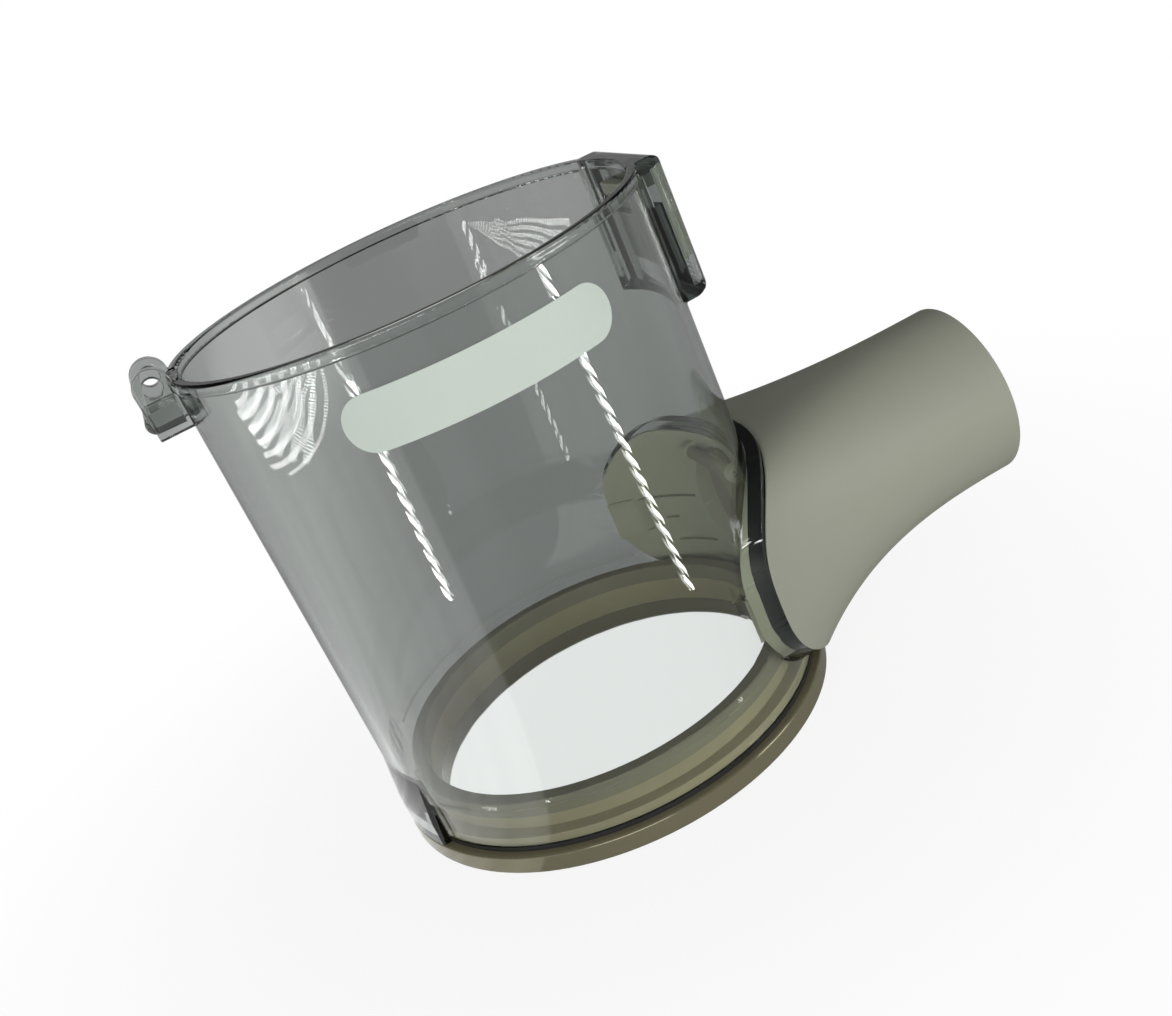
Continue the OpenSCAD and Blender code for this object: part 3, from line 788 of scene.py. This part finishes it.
def polar(tree, mirror, centre, side):
    """Distance from a point of the wall, and the angle below level on one side of it."""
    round_wall, height = mirror.place(tree)
    across = math_node(tree, "MULTIPLY", math_node(tree, "SUBTRACT", round_wall, centre[0]), side)
    down = math_node(tree, "SUBTRACT", centre[1], height)
    squares = math_node(tree, "MULTIPLY_ADD", across, across, math_node(tree, "MULTIPLY", down, down))
    return math_node(tree, "SQRT", squares), math_node(tree, "ARCTAN2", down, across)


def lay_shell(level):
    """A lamp that the near wall shows as nested arcs of short dashes."""
    foot = SHELL_CENTRE[1] - SHELL_REACH[1]
    mirror = Mirror(SHELL_RADIUS, SHELL_AZIMUTH, 134.5 * MM, foot)
    tree = glow_tree(mirror.lay("shell", level, -SHELL_CENTRE[0] + 2 * MM, SHELL_RADIANCE))
    away, angle = polar(tree, mirror, SHELL_CENTRE, 1)
    arcs = dashes(tree, math_node(tree, "DIVIDE", away, SHELL_PITCH), SHELL_SHARE)
    hatch = dashes(tree, math_node(tree, "MULTIPLY", angle, SHELL_HATCH), SHELL_HATCH_SHARE)
    quarter = within(tree, angle, 0.0, math.pi / 2)
    glow_where(tree, [arcs, hatch, quarter, within(tree, away, *SHELL_REACH)], 0, 1)


def lay_fan(level):
    """A lamp that the far wall shows as a fan of dashed rays."""
    mirror = Mirror(FAN_RADIUS, FAN_AZIMUTH, 131 * MM, 108 * MM)
    tree = glow_tree(mirror.lay("fan", level, FAN_CENTRE[0] + 2 * MM, FAN_RADIANCE))
    away, angle = polar(tree, mirror, FAN_CENTRE, -1)
    first, last = FAN_ANGLES
    turns = math_node(tree, "MULTIPLY", math_node(tree, "SUBTRACT", angle, first), FAN_RAYS / (last - first))
    rays = dashes(tree, turns, FAN_SHARE)
    hatch = dashes(tree, math_node(tree, "DIVIDE", away, FAN_HATCH), FAN_SHARE)
    inside = within(tree, angle, first, last)
    glow_where(tree, [rays, hatch, inside, within(tree, away, *FAN_REACH)], 2, 2)


def make_camera():
    data = bpy.data.cameras.new("camera")
    data.lens = CAMERA_LENS
    data.sensor_width = SENSOR_WIDTH
    data.sensor_fit = "HORIZONTAL"
    data.clip_start = 0.01
    camera = bpy.data.objects.new("camera", data)
    bpy.context.scene.collection.objects.link(camera)
    forward = (CAMERA_TARGET - CAMERA_PLACE).normalized()
    level_right = forward.cross(Vector((0, 0, 1))).normalized()
    level_up = level_right.cross(forward)
    c, s = math.cos(CAMERA_ROLL), math.sin(CAMERA_ROLL)
    right = level_right * c + level_up * s
    up = level_up * c - level_right * s
    turn = camera.matrix_world.copy()
    for row in range(3):
        turn[row][0], turn[row][1], turn[row][2] = right[row], up[row], -forward[row]
        turn[row][3] = CAMERA_PLACE[row]
    camera.matrix_world = turn
    bpy.context.scene.camera = camera


def dress_nodes():
    olive, champagne, metal = painted_olive(), painted_champagne(), steel()
    inner = plain_plastic("inner_olive", (0.358, 0.355, 0.260), (0.392, 0.389, 0.287), 0.45)
    seal = plain_plastic("seal_olive", (0.214, 0.198, 0.130), (0.240, 0.222, 0.147), 0.62)
    black = plain_plastic("black_rubber", (0.010, 0.010, 0.010), (0.018, 0.018, 0.017), 0.6)
    film = plain_plastic("label_film", (0.576, 0.646, 0.582), (0.588, 0.658, 0.594), 0.6, 3000, 0.000006)
    # The slider gets the duct's champagne darkened to 0.85: painted shade on its brightly lit face.
    latch_shaded = painted_champagne("champagne_shaded_latch", 0.85)
    soften("cup_shell", "bin", clear_smoke(), 0.25 * MM)
    soften("collar_ring", "bin", olive, 0.2 * MM)
    soften("collar_seal", "bin", seal, 0.12 * MM)
    soften("base_gasket", "bin", black, 0.12 * MM)
    soften("neck_gasket", "bin", black, 0.15 * MM)
    soften("inlet_liner", "bin", inner, 0.12 * MM)
    soften("inlet_flap", "flap", seal, 0.12 * MM)
    soften("flap_pin", "bin", metal, 0.15 * MM)
    soften("latch_slider", "slider", latch_shaded, 0.25 * MM)
    soften("front_label", "bin", film, 0.05 * MM)
    make_springs(metal)
    paint(make_duct(), champagne)


make_floor()
make_world()
make_lights()
make_camera()
dress_nodes()

bpy.context.scene.view_settings.view_transform = "Standard"
